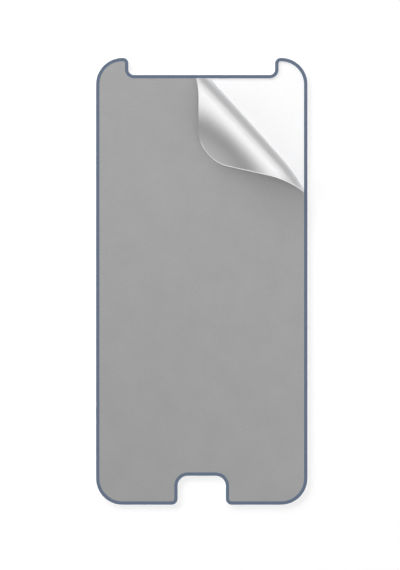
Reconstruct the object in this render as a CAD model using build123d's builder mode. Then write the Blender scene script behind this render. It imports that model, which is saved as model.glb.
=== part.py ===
from build123d import *
import os
from math import asin, atan2, cos, degrees, hypot, sin

# Phone screen protector: a cut film on its white backing sheet, inside a coloured border,
# with one corner of the film peeled off and curled back.
# Millimetres. The backing lies flat on Z = 0, centred on the origin, with the notch towards +Y.

# Outline of the backing sheet
sheet_width = 65.0
sheet_length = 137.4
corner_radius = 8.1

# Earpiece and sensor notch in the top edge, between two rounded ears
ear_tip_radius = 1.7
ear_flat = 0.15
notch_depth = 5.25
notch_fillet = 1.7

# Home key cut-out in the bottom edge
key_width = 14.8
key_depth = 8.9
key_corner_radius = 3.1
key_mouth_radius = 1.85

# Layers
backing_thickness = 0.3
film_thickness = 0.2
border_width = 1.04
border_thickness = 0.2
film_gap = 0.01

# Curled corner: the fold leaves the notch edge and comes to the right-hand edge.
# The film turns back over a flattened roll, which bulges a little in the middle and narrows
# by a share of its size near that edge.
peel_start = 2.3
peel_drop = 32.6
roll_depth_start = 4.5
roll_depth_end = 3.6
roll_height_start = 5.4
roll_height_end = 4.2
roll_bulge = 0.3
pinch_length = 10.0
pinch_share = 0.26
section_count = 9

# Flap past the top of the roll: an arc that bends down over the film, most in the middle of the fold
flap_bend_middle = 23.4
flap_bend_ends = 160.0
flap_reach = 13.8

# Free edge of the flap, seen from above:
# each point is a distance along the fold and a distance back from it
edge_start_along = -2.25
edge_start_back = 3.15
edge_neck_along = 0.9
edge_neck_back = 5.15
edge_neck_radius = 25.0
edge_corner_along = 16.3
edge_corner_back = 19.25
edge_corner_radius = 11.5
edge_shoulder_to_end = 4.7
edge_shoulder_back = 3.1
edge_shoulder_radius = 25.5
edge_end_back = 2.0
edge_cut_height = 1.0


def outline_at(inset):
    """Outline of the sheet moved inwards by inset, all round."""
    notch_width = sheet_width - 2 * (corner_radius + ear_flat + ear_tip_radius)
    with BuildSketch() as outline:
        Rectangle(sheet_width - 2 * inset, sheet_length - 2 * inset)
        with Locations((0, sheet_length / 2)):
            Rectangle(notch_width + 2 * inset, 2 * (notch_depth + inset), mode=Mode.SUBTRACT)
        with Locations((0, -sheet_length / 2)):
            Rectangle(key_width + 2 * inset, 2 * (key_depth + inset), mode=Mode.SUBTRACT)
        fillet(outline.vertices().group_by(Axis.Y)[2], notch_fillet + inset)
        fillet(outline.vertices().group_by(Axis.Y)[1], key_corner_radius + inset)
        for row, mouth_radius in ((-1, ear_tip_radius), (0, key_mouth_radius)):
            mouth = outline.vertices().group_by(Axis.Y)[row].sort_by(Axis.X)
            fillet(mouth[1:3], mouth_radius - inset)
            corners = outline.vertices().group_by(Axis.Y)[row].sort_by(Axis.X)
            fillet([corners[0], corners[-1]], corner_radius - inset)
    return outline.sketch


# Backing sheet
with BuildPart() as backing_sheet:
    with BuildSketch():
        add(outline_at(0))
    extrude(amount=backing_thickness)
backing_sheet.part.label = "backing_sheet"

# Border round the edge of the backing
with BuildPart() as border_frame:
    with BuildSketch(Plane.XY.offset(backing_thickness)):
        add(outline_at(0))
        add(outline_at(border_width), mode=Mode.SUBTRACT)
    extrude(amount=border_thickness)
border_frame.part.label = "border_frame"

# Fold frame: X runs along the fold, Y points out to the bared corner, Z is up from the backing
film_inset = border_width + film_gap
film_right = sheet_width / 2 - film_inset
film_top = sheet_length / 2 - notch_depth - film_inset
fold_run = film_right - peel_start
fold_length = hypot(fold_run, peel_drop)
fold_angle = atan2(-peel_drop, fold_run)
fold = Plane(
    origin=(peel_start, film_top, backing_thickness),
    x_dir=(cos(fold_angle), sin(fold_angle), 0),
    z_dir=(0, 0, 1),
)


def along_fold(start, end, along):
    """A size that goes evenly from start to end along the fold."""
    return start + (end - start) * along / fold_length


def pinch(along):
    """Share of its full size that the roll has, less near the right-hand edge."""
    return 1 - pinch_share * max(0, 1 + (along - fold_length) / pinch_length) ** 2


def swell(along):
    """One in the middle of the fold, falling to nothing at both ends."""
    share = along / fold_length
    return max(0, 4 * share * (1 - share))


def lift_line(along):
    """Where the film leaves the backing: a straight line behind the fold."""
    return -along_fold(roll_depth_start, roll_depth_end, along)


def roll_depth(along):
    """How far the roll reaches out from the lift line."""
    return -lift_line(along) * pinch(along) + roll_bulge * swell(along)


def roll_height(along):
    return along_fold(roll_height_start, roll_height_end, along) * pinch(along)


def flap_bend(along):
    """Radius of the flap, whose curvature swells towards the middle of the fold."""
    return 1 / (1 / flap_bend_ends + (1 / flap_bend_middle - 1 / flap_bend_ends) * swell(along))


def flap_run(along):
    """How far the flap reaches past the top of the roll before its free edge is cut."""
    return flap_reach * (1 - (along / (fold_length + pinch_length)) ** 2)


# Curl: hook-shaped sections square to the fold, lofted past both edges of the film and trimmed back
first_section = -roll_depth_start * fold_run / peel_drop - film_inset
last_section = fold_length + roll_depth_end * peel_drop / fold_run + film_inset
section_step = (last_section - first_section) / (section_count - 1)
clear_height = backing_thickness + 2 * roll_height_start
clear_back = edge_corner_back + flap_reach

with BuildPart() as curl:
    for number in range(section_count):
        along = first_section + number * section_step
        root = lift_line(along)
        depth = roll_depth(along)
        half_height = roll_height(along) / 2
        bend = flap_bend(along)
        flap_turn = degrees(asin(flap_run(along) / bend))
        roll_centre = (root, half_height)
        flap_centre = (root, 2 * half_height - bend)
        section = Plane(fold.from_local_coords((along, 0, 0)), x_dir=fold.y_dir, z_dir=fold.x_dir)
        with BuildSketch(section):
            with BuildLine():
                EllipticalCenterArc(roll_centre, depth, half_height, -90, arc_size=180)
                outer = CenterArc(flap_centre, bend, 90, flap_turn)
                inner = CenterArc(flap_centre, bend - film_thickness, 90, flap_turn)
                Line(outer @ 1, inner @ 1)
                inner_depth = depth - film_thickness
                inner_half_height = half_height - film_thickness
                EllipticalCenterArc(roll_centre, inner_depth, inner_half_height, -90, arc_size=180)
                Line((root, film_thickness), (root, 0))
            make_face()
    loft()
    split(bisect_by=Plane((0, film_top, 0), z_dir=(0, 1, 0)), keep=Keep.BOTTOM)
    split(bisect_by=Plane((film_right, 0, 0), z_dir=(1, 0, 0)), keep=Keep.BOTTOM)
    # The free edge is cut from above, down to a level between the flap and the film under it
    start = Vector(edge_start_along, -edge_start_back)
    neck = Vector(edge_neck_along, -edge_neck_back)
    corner = Vector(edge_corner_along, -edge_corner_back)
    shoulder = Vector(fold_length - edge_shoulder_to_end, -edge_shoulder_back)
    end = Vector(fold_length, -edge_end_back)
    before = start + (start - neck) * 2
    after = end + (end - shoulder) * 4
    far_before = (before.X, -clear_back)
    far_after = (after.X, -clear_back)
    with BuildSketch(fold.offset(edge_cut_height)) as past_edge:
        with BuildLine():
            edge_radii = [edge_neck_radius, edge_corner_radius, edge_shoulder_radius]
            FilletPolyline(before, neck, corner, shoulder, after, radius=edge_radii)
            Polyline(after, far_after, far_before, before)
        make_face()
    extrude(amount=clear_height, mode=Mode.SUBTRACT)
    # Behind the lift line the flap has no film under it yet, so there the cut goes right through
    with BuildSketch(fold.offset(edge_cut_height)):
        add(past_edge.sketch_local)
        with BuildLine():
            near_before = (before.X, lift_line(before.X) - film_thickness)
            near_after = (after.X, lift_line(after.X) - film_thickness)
            Polyline(near_before, near_after, far_after, far_before, close=True)
        make_face(mode=Mode.INTERSECT)
    extrude(amount=-clear_height, mode=Mode.SUBTRACT)

# Film: flat up to the lift line, with the curl carried on from there
lift_start = fold.from_local_coords((0, lift_line(0), 0))
lift_end = fold.from_local_coords((fold_length, lift_line(fold_length), 0))
lift = Plane(lift_start, x_dir=lift_end - lift_start, z_dir=fold.z_dir.cross(lift_end - lift_start))
with BuildPart() as screen_film:
    with BuildSketch(Plane.XY.offset(backing_thickness)):
        add(outline_at(film_inset))
    extrude(amount=film_thickness)
    split(bisect_by=lift, keep=Keep.BOTTOM)
    add(curl.part)
screen_film.part.label = "screen_film"

os.makedirs("parts", exist_ok=True)
for piece in (backing_sheet, border_frame, screen_film):
    export_step(piece.part, f"parts/{piece.part.label}.step")
    print(piece.part.label, len(piece.part.solids()), piece.part.is_valid, round(piece.part.volume, 2))
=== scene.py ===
# %% [markdown]
# # A phone screen protector with one corner peeled back
# The object is a thin pack of sheets: a white backing, a slate-blue border round its edge, and the grey
# protective film inside the border. The film's top right corner has been pulled off the backing and curls
# over, so that its silver underside shows. The backing and the border come from the CAD frame as they
# are. Blender gives every surface its finish, and makes the film again as a smooth sheet, because a
# silver curl shows each flat facet.

# %% Load the frame
from math import asin, cos, pi, radians, sin, tan

import bmesh
import bpy
from mathutils import Matrix, Vector


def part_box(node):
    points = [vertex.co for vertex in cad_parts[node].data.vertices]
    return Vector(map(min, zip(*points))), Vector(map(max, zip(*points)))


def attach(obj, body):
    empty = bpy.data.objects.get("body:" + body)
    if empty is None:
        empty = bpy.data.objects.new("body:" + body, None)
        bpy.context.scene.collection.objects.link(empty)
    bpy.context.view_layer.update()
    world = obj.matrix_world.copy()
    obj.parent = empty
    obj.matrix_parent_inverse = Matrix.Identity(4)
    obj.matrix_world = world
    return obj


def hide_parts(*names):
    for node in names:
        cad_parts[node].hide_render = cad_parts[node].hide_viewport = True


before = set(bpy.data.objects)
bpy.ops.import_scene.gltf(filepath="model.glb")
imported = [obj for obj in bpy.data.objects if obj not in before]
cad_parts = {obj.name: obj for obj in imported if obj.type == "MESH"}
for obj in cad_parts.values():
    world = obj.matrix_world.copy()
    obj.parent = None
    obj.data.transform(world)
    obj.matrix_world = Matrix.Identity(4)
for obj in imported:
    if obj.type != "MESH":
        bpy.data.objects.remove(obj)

mm = 0.001
scene = bpy.context.scene
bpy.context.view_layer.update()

# %% [markdown]
# ## The film, cut flat
# The real film is die-cut from a flat roll, so it starts flat here too: one face with twelve corners,
# each rounded by a vertex bevel. On a square corner the bevel's offset is the radius of the arc. The
# outer sizes come from the frame's box of the film. A boolean of boxes could give the same outline, but
# it would need cleaning up.

# %% Outline of the film
film_low, film_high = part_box("screen_film")
film_under = film_low.z
film_right = film_high.x
film_thickness = 0.2 * mm

corner_radius = 7.05 * mm
notch_half_width = 23.6 * mm
notch_depth = 5.25 * mm
notch_edge = film_high.y - notch_depth
ear_tip_radius = 0.65 * mm
notch_fillet = 2.75 * mm
key_half_width = 8.45 * mm
key_depth = 8.9 * mm
key_edge = film_low.y + key_depth
key_corner_radius = 4.15 * mm
key_mouth_radius = 0.8 * mm
arc_segments = 12

half_outline = [
    (key_half_width, key_edge, key_corner_radius),
    (key_half_width, film_low.y, key_mouth_radius),
    (film_right, film_low.y, corner_radius),
    (film_right, film_high.y, corner_radius),
    (notch_half_width, film_high.y, ear_tip_radius),
    (notch_half_width, notch_edge, notch_fillet),
]


def round_corners(shape, corners, offset, segments):
    """Rounds corners of a flat face: offset is the length cut from each edge that meets there."""
    bmesh.ops.bevel(
        shape,
        geom=corners,
        offset=offset,
        offset_type="OFFSET",
        segments=segments,
        profile=0.5,
        affect="VERTICES",
        clamp_overlap=False,
        material=-1,
    )


film = bmesh.new()
right_side = [film.verts.new((x, y, film_under)) for x, y, radius in half_outline]
left_side = [film.verts.new((-x, y, film_under)) for x, y, radius in half_outline]
film.faces.new(right_side + left_side[::-1])
for right, left, (x, y, radius) in zip(right_side, left_side, half_outline):
    round_corners(film, [right, left], radius, arc_segments)
print("Film outline:", len(film.verts), "points")

# %% [markdown]
# ## The fold
# The corner lifts off along a straight line, goes round a flattened roll about 5 mm high and ends in a
# flap that droops over the film, most of all in its middle. The roll bulges a little in the middle and
# gets smaller where it comes to the right-hand edge. Two functions say this once: one turns a place on
# the flat film into its place on the curl, and the other turns a point of the flap, measured from above,
# back into a place on the flat film. "Along" runs along the fold and "back" runs from it to the flap. A
# Simple Deform modifier also bends a sheet, but it can't narrow the roll along the fold.

# %% Fold sizes
peel_start = 2.3 * mm
peel_drop = 32.6 * mm
roll_depth_start, roll_depth_end = 4.5 * mm, 3.6 * mm
roll_height_start, roll_height_end = 5.4 * mm, 4.2 * mm
roll_bulge = 0.3 * mm
pinch_length = 10.0 * mm
pinch_share = 0.26
flap_bend_middle, flap_bend_ends = 23.4 * mm, 160.0 * mm

fold_start = Vector((peel_start, notch_edge, film_under))
fold_end = Vector((film_right, notch_edge - peel_drop, film_under))
fold_length = (fold_end - fold_start).length
fold_along = (fold_end - fold_start).normalized()
up = Vector((0, 0, 1))
fold_out = up.cross(fold_along)
print("Fold length in mm:", round(fold_length / mm, 2))


# %% Fold shape
def along_fold(start, end, along):
    """A size that goes evenly from start to end along the fold."""
    return start + (end - start) * along / fold_length


def pinch(along):
    """Share of its full size that the roll has, less near the right-hand edge."""
    return 1 - pinch_share * max(0, 1 + (along - fold_length) / pinch_length) ** 2


def swell(along):
    """One in the middle of the fold, falling to nothing at both ends."""
    share = along / fold_length
    return max(0, 4 * share * (1 - share))


def roll_sizes(along):
    """Lift line, outwards from the fold, then depth and half height of the roll, and radius of the flap."""
    lift = -along_fold(roll_depth_start, roll_depth_end, along)
    depth = -lift * pinch(along) + roll_bulge * swell(along)
    half_height = along_fold(roll_height_start, roll_height_end, along) * pinch(along) / 2
    bend = 1 / (1 / flap_bend_ends + (1 / flap_bend_middle - 1 / flap_bend_ends) * swell(along))
    return lift, depth, half_height, bend


def half_turn(depth, half_height):
    """Length of film in the half ellipse that turns it over, as for a circle of the mean radius."""
    return pi * (depth + half_height) / 2


def rolled(along, around):
    """Point of the curl that lies this far along the fold and this far round from the lift line."""
    lift, depth, half_height, bend = roll_sizes(along)
    turn = half_turn(depth, half_height)
    if around <= turn:
        angle = pi * around / turn
        out, height = depth * sin(angle), half_height * (1 - cos(angle))
    else:
        angle = (around - turn) / bend
        out, height = -bend * sin(angle), 2 * half_height - bend * (1 - cos(angle))
    return fold_start + fold_along * along + fold_out * (lift + out) + up * height


def unrolled(along, back):
    """Place on the flat film of a point on the upper side of the curl, seen from above."""
    lift, depth, half_height, bend = roll_sizes(along)
    turn = half_turn(depth, half_height)
    past_top = back + lift
    if past_top > 0:
        return Vector((along, turn + bend * asin(past_top / bend), 0))
    return Vector((along, turn * (1 + asin(past_top / depth) / pi), 0))


lift, depth, half_height, bend = roll_sizes(fold_length / 2)
print("Middle of the roll, depth and height in mm:", round(depth / mm, 2), round(2 * half_height / mm, 2))

# %% [markdown]
# ## Cutting and rolling the corner
# The free edge of the corner is drawn as it is seen from above, rounded by the same vertex bevel, divided
# into short pieces and then laid flat by the second function. Its last point stays inside the outline of
# the roll, because there is no film beyond that. An inset all round leaves a narrow strip along the free
# edge. Round the corner of the flap and along its long side this strip is painted pale, a painted
# highlight where the cut edge catches the light, and towards the notch it stays silver. Then the corner is
# cut into small cells, as a sheet has to be before it can bend, each point is moved to its place on the
# roll, and two plane cuts trim the roll to the film's own edges. Spinning a profile would also give a
# roll, but not one that narrows.

# %% Draw the free edge and lay it flat
edge_strip = 0.2 * mm
# Painted highlight: past this point along the fold, the strip along the free edge is painted pale.
painted_highlight_from = 12.5 * mm
edge_piece = 2.0 * mm
edge_piece_cuts = 7
free_edge_segments = 16
spare = 1.0 * mm
pattern_start, pattern_end = -5.3 * mm, 48.5 * mm
free_edge = {
    "start": (-4.2 * mm, 1.9 * mm),
    "neck": (0.9 * mm, 5.15 * mm),
    "corner": (16.3 * mm, 19.25 * mm),
    "shoulder": (39.03 * mm, 3.1 * mm),
    "end": (45.9 * mm, 1.49 * mm),
}
free_edge_cuts = {"neck": 2.2 * mm, "corner": 9.3 * mm, "shoulder": 5.0 * mm}

corner = bmesh.new()
edge_points = {name: corner.verts.new((*place, 0)) for name, place in free_edge.items()}
lift_side = [corner.verts.new((along, -spare, 0)) for along in (pattern_start, pattern_end)]
corner.faces.new([*lift_side, *list(edge_points.values())[::-1]])
for name, cut in free_edge_cuts.items():
    round_corners(corner, [edge_points[name]], cut, free_edge_segments)
long_edges = [
    e for e in corner.edges if e.calc_length() > edge_piece and min(v.co.y for v in e.verts) > 0
]
bmesh.ops.subdivide_edges(corner, edges=long_edges, cuts=edge_piece_cuts)
for vert in corner.verts:
    if vert.co.y > 0:
        vert.co = unrolled(vert.co.x, vert.co.y)
strip = bmesh.ops.inset_region(
    corner, faces=corner.faces[:], thickness=edge_strip, use_boundary=True, use_even_offset=True
)
# Painted highlight: strip faces towards the right-hand edge get the pale material, towards the notch they
# stay silver.
for face in strip["faces"]:
    face.material_index = int(face.calc_center_median().x > painted_highlight_from)
print("Corner laid flat:", len(corner.verts), "points")

# %% Cut it into cells, roll it and trim it
cell_around, cell_along = 0.25 * mm, 1.0 * mm
on_plane = 0.0001 * mm


def cut_plane(shape, place, normal, **clear):
    """Cuts the whole shape along a plane. clear_outer drops the side that the normal points to."""
    everything = shape.verts[:] + shape.edges[:] + shape.faces[:]
    bmesh.ops.bisect_plane(
        shape, geom=everything, dist=on_plane, plane_co=place, plane_no=normal, **clear
    )


cut_plane(corner, (0, 0, 0), (0, 1, 0), clear_inner=True)
reach = max(v.co.y for v in corner.verts)
for step in range(1, int(reach / cell_around) + 1):
    cut_plane(corner, (0, step * cell_around, 0), (0, 1, 0))
for step in range(int((pattern_end - pattern_start) / cell_along)):
    cut_plane(corner, (pattern_start + step * cell_along, 0, 0), (1, 0, 0))
for vert in corner.verts:
    vert.co = rolled(vert.co.x, vert.co.y)
cut_plane(corner, (0, notch_edge, 0), (0, 1, 0), clear_outer=True)
cut_plane(corner, (film_right, 0, 0), (1, 0, 0), clear_outer=True)
print("Curl:", len(corner.faces), "cells, reach in mm:", round(reach / mm, 2))

# %% [markdown]
# ## One sheet with a thickness
# The flat face loses the corner at the lift line, and its outline is filled again together with the first
# row of the curl, so that the two are one sheet with no seam. Solidify then gives it its 0.2 mm. The
# modifier of that name would do the same, but the operator works at once, so the sides can be sorted
# right after it. The side that was drawn is the underside, which is silver, and the new side is the grey
# face. The rim between them is the cut edge.

# %% Join the film and give it thickness
lift_place = rolled(0, 0)
lift_normal = up.cross(rolled(fold_length, 0) - lift_place).normalized()
touch = 0.001 * mm


def on_lift_line(vert):
    """True for a point of the flat film that lies on the lift line."""
    away = vert.co - lift_place
    return abs(away.dot(lift_normal)) < touch and abs(away.z) < touch


cut_plane(film, lift_place, lift_normal, clear_outer=True)
open_side = [e for e in film.edges if all(on_lift_line(v) for v in e.verts)]
bmesh.ops.delete(film, geom=open_side, context="EDGES")
curl_mesh = bpy.data.meshes.new("curl")
corner.to_mesh(curl_mesh)
corner.free()
film.from_mesh(curl_mesh)
bpy.data.meshes.remove(curl_mesh)
bmesh.ops.remove_doubles(film, verts=film.verts[:], dist=touch)
loop = [
    e for e in film.edges if e.is_wire or (e.is_boundary and all(on_lift_line(v) for v in e.verts))
]
flat_face = bmesh.ops.contextual_create(film, geom=loop)["faces"][0]
bmesh.ops.recalc_face_normals(film, faces=film.faces[:])
if flat_face.normal.z > 0:
    bmesh.ops.reverse_faces(film, faces=film.faces[:])
underside = set(film.faces)
bmesh.ops.solidify(film, geom=film.faces[:], thickness=film_thickness)
print("Film:", len(film.faces), "faces, open edges:", sum(e.is_boundary for e in film.edges))

# %% Sort the film's sides
# The pale material is the finish of the cut rim and also a painted highlight on the strip along the free
# edge.
silver, edge_and_painted_highlight, grey = range(3)
sharp_angle = radians(40)
for face in film.faces:
    if face not in underside:
        face.material_index = grey
    if face not in underside and any(f in underside for e in face.edges for f in e.link_faces):
        face.material_index = edge_and_painted_highlight
film_mesh = bpy.data.meshes.new("screen_film_sheet")
film.to_mesh(film_mesh)
film.free()
film_mesh.shade_smooth()
film_mesh.set_sharp_from_angle(angle=sharp_angle)
sheet = bpy.data.objects.new("screen_film_sheet", film_mesh)
scene.collection.objects.link(sheet)
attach(sheet, "root")
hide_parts("screen_film")
counts = [sum(p.material_index == side for p in film_mesh.polygons) for side in (silver, edge_and_painted_highlight, grey)]
print("Film faces: silver, pale edge, grey:", counts)

# %% [markdown]
# ## Tools for the materials
# Every finish is built from a few nodes, so a few small helpers are enough: one turns a hex colour into
# the linear values that Blender works with, one adds a node with its settings and links, and one turns
# the real size of a blotch into the scale of a noise texture. All patterns use Object coordinates, which
# are metres on this object. The Mix node has several sockets of the same name, so they are called by
# number: 0 is its factor, 6 and 7 are its two colours, and 2 is the colour that comes out.


# %% Material helpers
def linear(hex_colour):
    """Linear colour from an sRGB hex value such as #667286."""
    parts = [int(hex_colour[i : i + 2], 16) / 255 for i in (1, 3, 5)]
    return (*((p / 12.92 if p <= 0.04045 else ((p + 0.055) / 1.055) ** 2.4) for p in parts), 1.0)


def add_node(tree, kind, inputs=None, **settings):
    """Adds a node with its settings. An input is a value, or a socket that is linked to it."""
    node = tree.nodes.new(kind)
    for name, value in settings.items():
        setattr(node, name, value)
    for name, value in (inputs or {}).items():
        if isinstance(value, bpy.types.NodeSocket):
            tree.links.new(value, node.inputs[name])
        else:
            node.inputs[name].default_value = value
    return node


def per_mm(size):
    """Scale of a noise texture whose blotches are about this many millimetres across."""
    return 1 / (size * mm)


def start_material(name):
    """New material with an empty node tree, and the place on the piece for its patterns."""
    material = bpy.data.materials.new(name)
    material.use_nodes = True
    tree = material.node_tree
    tree.nodes.clear()
    return material, tree, add_node(tree, "ShaderNodeTexCoord").outputs["Object"]


def finish_material(tree, inputs):
    """Puts a Principled shader with these inputs on the surface."""
    shader = add_node(tree, "ShaderNodeBsdfPrincipled", inputs)
    add_node(tree, "ShaderNodeOutputMaterial", {"Surface": shader.outputs["BSDF"]})


# %% [markdown]
# ## The grey face
# The face is PET film with a fine matte coating. A matte coat scatters light, so the face shows no
# reflections, only an even grey with faint clouds a few millimetres wide where the coat is thicker or
# thinner. The grey is also painted a few levels darker towards the lower left corner: painted shade, a
# fall of light drawn into the colour. One flat grey would be simpler, but it would look like card. Two
# noises and a distance give all of this: a soft noise for the clouds, a fine one for the grain, which also
# makes a slight bump, and the distance from that corner, which sets the painted shade. The grit of a real
# matte coat is about 0.02 mm. It is drawn at 0.5 mm here, as fine as the render can show.

# %% Matte PET film: clouds, grain and painted shade
film_face, tree, place = start_material("matte_pet_film")
cloud_size, grain_size = 9, 0.5
# Painted shade: the grey is darkest at this corner of the film and fades out over this reach.
shaded_corner = (-film_right, film_low.y, film_under)
shade_reach = 100 * mm
cloud = add_node(
    tree,
    "ShaderNodeTexNoise",
    {"Vector": place, "Scale": per_mm(cloud_size), "Detail": 4, "Roughness": 0.6},
)
grain = add_node(
    tree, "ShaderNodeTexNoise", {"Vector": place, "Scale": per_mm(grain_size), "Detail": 1}
)
away = add_node(tree, "ShaderNodeVectorMath", {0: place, 1: shaded_corner}, operation="DISTANCE")
painted_shade_falloff = add_node(
    tree, "ShaderNodeMapRange", {"Value": away.outputs["Value"], "From Max": shade_reach}
)
print("Patterns in", film_face.name, [node.name for node in (cloud, grain, painted_shade_falloff)])

# %% Matte PET film: colour and surface
grain_depth = 0.004 * mm
clouded = add_node(
    tree,
    "ShaderNodeMix",
    {0: cloud.outputs["Fac"], 6: linear("#9E9E9E"), 7: linear("#A8A8A8")},
    data_type="RGBA",
)
grained = add_node(
    tree,
    "ShaderNodeMix",
    {0: grain.outputs["Fac"], 6: linear("#EFEFEF"), 7: linear("#FFFFFF")},
    data_type="RGBA",
)
# Painted shade: a few levels darker towards the lower left corner, multiplied into the colour.
painted_shade = add_node(
    tree,
    "ShaderNodeMix",
    {0: painted_shade_falloff.outputs["Result"], 6: linear("#F4F4F4"), 7: linear("#FFFFFF")},
    data_type="RGBA",
)
colour = clouded.outputs[2]
for layer in (grained, painted_shade):
    colour = add_node(
        tree,
        "ShaderNodeMix",
        {0: 1.0, 6: colour, 7: layer.outputs[2]},
        data_type="RGBA",
        blend_type="MULTIPLY",
    ).outputs[2]
bump = add_node(
    tree, "ShaderNodeBump", {"Height": grain.outputs["Fac"], "Distance": grain_depth, "Strength": 0.5}
)
finish_material(
    tree,
    {"Base Color": colour, "Roughness": 0.62, "IOR": 1.45, "Normal": bump.outputs["Normal"]},
)
print("Made", film_face.name)

# %% [markdown]
# ## The silver underside
# The underside carries a silvery adhesive coat. It is a metal to the eye: it has no colour of its own and
# only mirrors the room, softly, because the glue on it is slightly uneven. So it is a metallic shader
# with a medium roughness, and a fine noise makes some spots a little duller than others. The bands of
# light and dark on the curl are then reflections of the studio, and none of them is painted on.

# %% Silver adhesive coat
film_under_face, tree, place = start_material("silver_adhesive_coat")
glue_size = 1.2
least_dull, most_dull = 0.36, 0.42
glue = add_node(
    tree, "ShaderNodeTexNoise", {"Vector": place, "Scale": per_mm(glue_size), "Detail": 2}
)
colour = add_node(
    tree,
    "ShaderNodeMix",
    {0: glue.outputs["Fac"], 6: linear("#DEDEDF"), 7: linear("#E3E3E4")},
    data_type="RGBA",
)
dullness = add_node(
    tree,
    "ShaderNodeMapRange",
    {"Value": glue.outputs["Fac"], "To Min": least_dull, "To Max": most_dull},
)
finish_material(
    tree,
    {"Base Color": colour.outputs[2], "Metallic": 1.0, "Roughness": dullness.outputs["Result"]},
)
print("Made", film_under_face.name)

# %% [markdown]
# ## The cut edge and its painted highlight
# The film's cut edge has a pale finish of plain PET. The strip that the inset has left along the free edge
# gets the same finish as a painted highlight: from above it is a hair-thin pale line, which makes the
# flap stand out from the grey below. A rounded rim would catch the light for real, but it would be thinner
# than a pixel. The finish is a little glossier than the face, and a noise along the line stands for small
# nicks of the die.

# %% Cut PET edge and painted highlight
cut_edge_and_painted_highlight, tree, place = start_material("cut_pet_edge_and_painted_highlight")
nick_size = 1.0
nicks = add_node(
    tree, "ShaderNodeTexNoise", {"Vector": place, "Scale": per_mm(nick_size), "Detail": 2}
)
colour = add_node(
    tree,
    "ShaderNodeMix",
    {0: nicks.outputs["Fac"], 6: linear("#F0F0F1"), 7: linear("#F8F8F9")},
    data_type="RGBA",
)
finish_material(tree, {"Base Color": colour.outputs[2], "Roughness": 0.4, "IOR": 1.57})
for material in (film_under_face, cut_edge_and_painted_highlight, film_face):
    film_mesh.materials.append(material)
print("Made", cut_edge_and_painted_highlight.name)

# %% [markdown]
# ## The border
# The border is a band of slate-blue ink with a satin surface. Ink on a coated sheet dries a little
# unevenly, so its colour wanders by a few levels over half a millimetre. A noise on Object coordinates
# gives that all round the outline, with no seam, where a pattern that followed the band would need a map
# of it first.

# %% Satin border ink
border_ink, tree, place = start_material("satin_border_ink")
ink_size = 0.6
ink = add_node(
    tree, "ShaderNodeTexNoise", {"Vector": place, "Scale": per_mm(ink_size), "Detail": 2}
)
colour = add_node(
    tree,
    "ShaderNodeMix",
    {0: ink.outputs["Fac"], 6: linear("#516075"), 7: linear("#5B6A7F")},
    data_type="RGBA",
)
finish_material(tree, {"Base Color": colour.outputs[2], "Roughness": 0.5})
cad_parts["border_frame"].material_slots[0].material = border_ink
print("Made", border_ink.name)

# %% [markdown]
# ## The backing
# The backing is white paper with a smooth release coating, so that the film comes off it. It is almost
# pure white, with the faint unevenness of paper fibres under the coating. A fibre is about 0.03 mm thick,
# too fine to show here, so the noise draws the clumps that fibres form, 0.7 mm across.

# %% Release-coated paper
release_paper, tree, place = start_material("release_coated_paper")
fibre_size = 0.7
fibres = add_node(
    tree, "ShaderNodeTexNoise", {"Vector": place, "Scale": per_mm(fibre_size), "Detail": 3}
)
colour = add_node(
    tree,
    "ShaderNodeMix",
    {0: fibres.outputs["Fac"], 6: linear("#F4F4F5"), 7: linear("#FAFAFB")},
    data_type="RGBA",
)
finish_material(tree, {"Base Color": colour.outputs[2], "Roughness": 0.45})
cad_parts["backing_sheet"].material_slots[0].material = release_paper
print("Made", release_paper.name)

# %% [markdown]
# ## The camera
# The photograph looks straight down and shows no perspective at all, so the camera is far away with a
# very long lens. An orthographic camera would do as well, but a long lens behaves like a real one in
# every other view too.

# %% Camera
image_width, image_height = 400, 570
view_width = 123.0 * mm
view_height = view_width * image_height / image_width
view_centre = (-0.53 * mm, -1.14 * mm)
camera_data = bpy.data.cameras.new("camera")
camera_data.lens = 800
camera_data.sensor_width = 36
camera = bpy.data.objects.new("camera", camera_data)
camera_height = view_height * camera_data.lens / camera_data.sensor_width
camera.location = (*view_centre, camera_height)
scene.collection.objects.link(camera)
scene.camera = camera
scene.view_settings.view_transform = "Standard"
print("Camera height in m:", round(camera_height, 2))

# %% [markdown]
# ## The table
# The object lies on a plain white table. Paint can't be whiter than the light on it, so a faint glow is
# added where the camera sees the table, directly or in a reflection. Brighter lamps would whiten it as
# well, but they would also bleach the film. The glow lights nothing, and the table still takes the soft
# shadow of the pack.

# %% White table
table_half_size = 3
table_glow = 0.08
floor_mesh = bpy.data.meshes.new("floor")
floor_shape = bmesh.new()
bmesh.ops.create_grid(floor_shape, x_segments=1, y_segments=1, size=table_half_size)
floor_shape.to_mesh(floor_mesh)
floor_shape.free()
floor = bpy.data.objects.new("floor", floor_mesh)
scene.collection.objects.link(floor)
white_table, tree, place = start_material("white_table")
paint = add_node(tree, "ShaderNodeBsdfDiffuse", {"Color": linear("#F8F8F8")})
ray = add_node(tree, "ShaderNodeLightPath")
seen = ray.outputs["Is Camera Ray"]
for kind in ("Is Glossy Ray", "Is Transmission Ray"):
    seen = add_node(
        tree, "ShaderNodeMath", {0: seen, 1: ray.outputs[kind]}, operation="MAXIMUM"
    ).outputs[0]
glow = add_node(tree, "ShaderNodeMath", {0: seen, 1: table_glow}, operation="MULTIPLY")
shine = add_node(
    tree, "ShaderNodeEmission", {"Color": (1, 1, 1, 1), "Strength": glow.outputs[0]}
)
table_top = add_node(tree, "ShaderNodeAddShader", {0: paint.outputs[0], 1: shine.outputs[0]})
add_node(tree, "ShaderNodeOutputMaterial", {"Surface": table_top.outputs[0]})
floor_mesh.materials.append(white_table)
print("Made", white_table.name)

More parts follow.
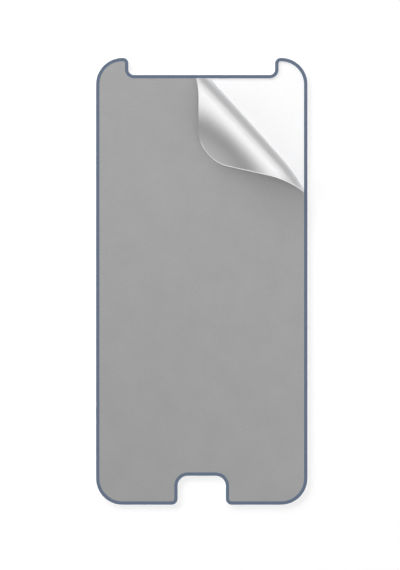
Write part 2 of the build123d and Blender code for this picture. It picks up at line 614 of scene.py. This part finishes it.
# %% [markdown]
# ## The light
# The studio is a pale room with a dark ceiling and lamps above the table. The silver curl mirrors the
# room and two of the lamps: the walls give its grey parts, a strip lamp straight above the fold gives the
# bright band, a weaker one further out lets that band fade slowly towards the fold, and the ceiling
# between lamps and walls darkens the flap. A key lamp, long and low in the upper left, in line with the
# fold, gives the flap its soft shadow. The strips cast no shadow, and neither does a fill lamp, which
# keeps the key's shadow pale as a white card would. Key and fill aren't mirrored, because lamps like
# these would bleach the silver in other views. The walls light the pack with only a share of what the
# silver mirrors, and the fill makes up for the rest, so the bared corner beside the roll stays almost
# free of shade. Together they light a white sheet to just white, so that each colour comes out as it is
# written.

# %% Room
wall_light, ceiling_light = 0.61, 0.065
wall_top, ceiling_start = 0.7, 0.9
lit_share = 0.7
world = bpy.data.worlds.new("studio")
scene.world = world
world.use_nodes = True
tree = world.node_tree
tree.nodes.clear()
direction = add_node(tree, "ShaderNodeTexCoord").outputs["Generated"]
height = add_node(tree, "ShaderNodeSeparateXYZ", {0: direction}).outputs["Z"]
room = add_node(
    tree,
    "ShaderNodeMapRange",
    {
        "Value": height,
        "From Min": wall_top,
        "From Max": ceiling_start,
        "To Min": wall_light,
        "To Max": ceiling_light,
    },
)
ray = add_node(tree, "ShaderNodeLightPath")
share = add_node(
    tree,
    "ShaderNodeMapRange",
    {"Value": ray.outputs["Is Diffuse Ray"], "To Min": 1.0, "To Max": lit_share},
)
strength = add_node(
    tree,
    "ShaderNodeMath",
    {0: room.outputs["Result"], 1: share.outputs["Result"]},
    operation="MULTIPLY",
)
sky = add_node(
    tree, "ShaderNodeBackground", {"Color": (1, 1, 1, 1), "Strength": strength.outputs[0]}
)
add_node(tree, "ShaderNodeOutputWorld", {"Surface": sky.outputs[0]})
print("Room: walls", wall_light, "ceiling", ceiling_light)

# %% Lamps
band_light, fade_light, key_light, fill_light = 2.9, 1.64, 10.0, 2.06
overhead, beside = 2.0, 0.8
curl_place = rolled(fold_length / 2, half_turn(*roll_sizes(fold_length / 2)[1:3]))
table_middle = Vector()


def softbox(name, aim, distance, towards, tilt, half_width, half_length, radiance):
    """Soft lamp aimed at a place. Its tilt from straight up and half its width and length are in degrees."""
    away = towards * sin(radians(tilt)) + up * cos(radians(tilt))
    across = towards * cos(radians(tilt)) - up * sin(radians(tilt))
    lamp = bpy.data.lights.new(name, "AREA")
    lamp.shape = "RECTANGLE"
    lamp.size = 2 * distance * tan(radians(half_width))
    lamp.size_y = 2 * distance * tan(radians(half_length))
    lamp.energy = radiance * pi * lamp.size * lamp.size_y
    lamp_object = bpy.data.objects.new(name, lamp)
    lamp_object.location = aim + away * distance
    lamp_object.rotation_euler = Matrix((across, away.cross(across), away)).transposed().to_euler()
    lamp_object.visible_camera = False
    scene.collection.objects.link(lamp_object)
    return lamp_object


band_strip = softbox(
    "band_strip", curl_place, overhead, fold_out,
    tilt=-0.5, half_width=7, half_length=22, radiance=band_light,
)
fade_strip = softbox(
    "fade_strip", curl_place, overhead, fold_out,
    tilt=22.5, half_width=7.3, half_length=22, radiance=fade_light,
)
key_lamp = softbox(
    "key_softbox", table_middle, beside, -fold_along,
    tilt=77, half_width=6, half_length=42, radiance=key_light,
)
fill_lamp = softbox(
    "fill_softbox", table_middle, overhead, fold_out,
    tilt=0, half_width=20, half_length=20, radiance=fill_light,
)
for unmirrored in (key_lamp, fill_lamp):
    unmirrored.visible_glossy = False
for shadowless in (band_strip, fade_strip, fill_lamp):
    shadowless.data.use_shadow = False
print("Lamps:", [lamp.name for lamp in bpy.data.lights])
